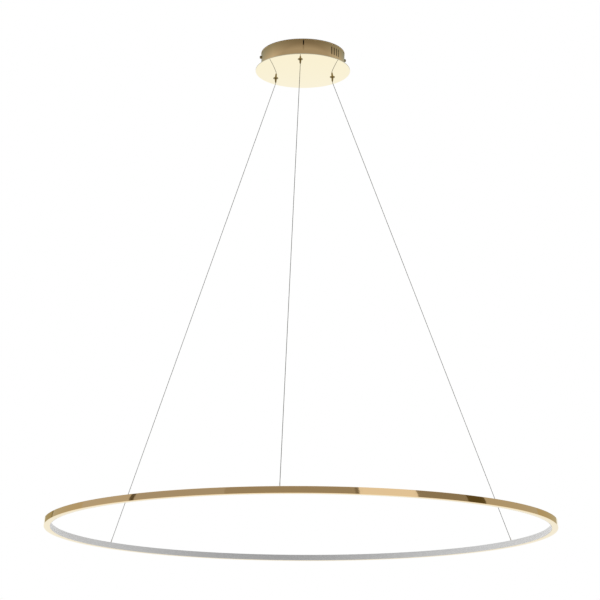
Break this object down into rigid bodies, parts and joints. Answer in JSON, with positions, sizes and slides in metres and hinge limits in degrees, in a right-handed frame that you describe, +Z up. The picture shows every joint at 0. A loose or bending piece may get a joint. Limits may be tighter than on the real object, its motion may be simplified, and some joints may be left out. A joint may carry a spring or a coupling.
{
  "type": "led ring chandelier",
  "caption": "Slim ring light with an inward diffuser, hung level on three steel wires from a round ceiling canopy with push-to-release wire grippers.",
  "frame": {"origin": "middle of the ceiling plate's slotted screw pattern, on its top face against the ceiling", "axes": "+Z up into the ceiling, +X along the ceiling plate's row of slots towards its terminal block; the object hangs below z = 0 and its front is at -Y"},
  "size_m": [1.1998, 1.2, 1.195],
  "materials": {
    "gold_plate": "polished gold-coloured plating on steel",
    "gold_mirror": "mirror-polished gold-coloured plating on steel",
    "dark_gold": "satin plated brass",
    "brass": "turned",
    "zinc_steel": "zinc plated",
    "stainless": "satin",
    "wire_steel": "stranded, clear coated",
    "opal_silicone": "matt opal silicone",
    "circuit_band": "white circuit laminate",
    "white_nylon": "moulded nylon",
    "driver_case": "moulded case",
    "foam": "closed-cell foam"
  },
  "bodies": {
    "canopy": {"mounting_bracket": "zinc_steel", "canopy_drum": "gold_plate", "canopy_plate": "gold_mirror", "side_screws": "dark_gold", "earth_screw": "zinc_steel", "terminal_block": "white_nylon", "led_driver": "driver_case", "driver_pad": "foam", "gripper_nuts": "zinc_steel", "gripper_body_1": "gold_mirror", "gripper_plug_1": "brass", "gripper_spring_1": "stainless", "wire_tail_1": "wire_steel", "suspension_wire_1": "wire_steel", "gripper_body_2": "gold_mirror", "gripper_plug_2": "brass", "gripper_spring_2": "stainless", "wire_tail_2": "wire_steel", "suspension_wire_2": "wire_steel", "gripper_body_3": "gold_mirror", "gripper_plug_3": "brass", "gripper_spring_3": "stainless", "wire_tail_3": "wire_steel", "suspension_wire_3": "wire_steel"},
    "ring": {"ring_frame": "gold_plate", "diffuser": "opal_silicone", "led_strip": "circuit_band", "anchor_pins": "stainless", "anchor_nuts": "zinc_steel", "wire_anchor_1": "gold_plate", "wire_anchor_2": "gold_plate", "wire_anchor_3": "gold_plate"},
    "release_1": {"gripper_plunger_1": "dark_gold"},
    "wire_end_1": {"wire_ferrule_1": "stainless"},
    "release_2": {"gripper_plunger_2": "dark_gold"},
    "wire_end_2": {"wire_ferrule_2": "stainless"},
    "release_3": {"gripper_plunger_3": "dark_gold"},
    "wire_end_3": {"wire_ferrule_3": "stainless"}
  },
  "joints": [
    {"name": "ring_height", "type": "slide", "parent": "canopy", "child": "ring", "axis": [0, 0, 1], "range_m": [0, 0.7], "deforming": ["suspension_wire_1", "suspension_wire_2", "suspension_wire_3"]},
    {"name": "gripper_release_1", "type": "slide", "parent": "canopy", "child": "release_1", "axis": [0, 0, 1], "range_m": [0, 0.002], "stiffness_N_per_m": 500, "springref_m": -0.004, "deforming": ["gripper_spring_1"]},
    {"name": "wire_end_lean_1", "type": "hinge", "parent": "ring", "child": "wire_end_1", "pos_m": [-0.10289, -0.5835, -1.1836], "axis": [-0.9848, 0.1736, 0], "range_deg": [0, 26]},
    {"name": "gripper_release_2", "type": "slide", "parent": "canopy", "child": "release_2", "axis": [0, 0, 1], "range_m": [0, 0.002], "stiffness_N_per_m": 500, "springref_m": -0.004, "deforming": ["gripper_spring_2"]},
    {"name": "wire_end_lean_2", "type": "hinge", "parent": "ring", "child": "wire_end_2", "pos_m": [0.54936, 0.22195, -1.1836], "axis": [0.3746, -0.9272, 0], "range_deg": [0, 26]},
    {"name": "gripper_release_3", "type": "slide", "parent": "canopy", "child": "release_3", "axis": [0, 0, 1], "range_m": [0, 0.002], "stiffness_N_per_m": 500, "springref_m": -0.004, "deforming": ["gripper_spring_3"]},
    {"name": "wire_end_lean_3", "type": "hinge", "parent": "ring", "child": "wire_end_3", "pos_m": [-0.44376, 0.3926, -1.1836], "axis": [0.6626, 0.749, 0], "range_deg": [0, 26]}
  ],
  "couplings": [
    {"joint": "wire_end_lean_1", "follows": "ring_height", "rad_per_m": 0.647},
    {"joint": "wire_end_lean_2", "follows": "ring_height", "rad_per_m": 0.647},
    {"joint": "wire_end_lean_3", "follows": "ring_height", "rad_per_m": 0.647}
  ]
}
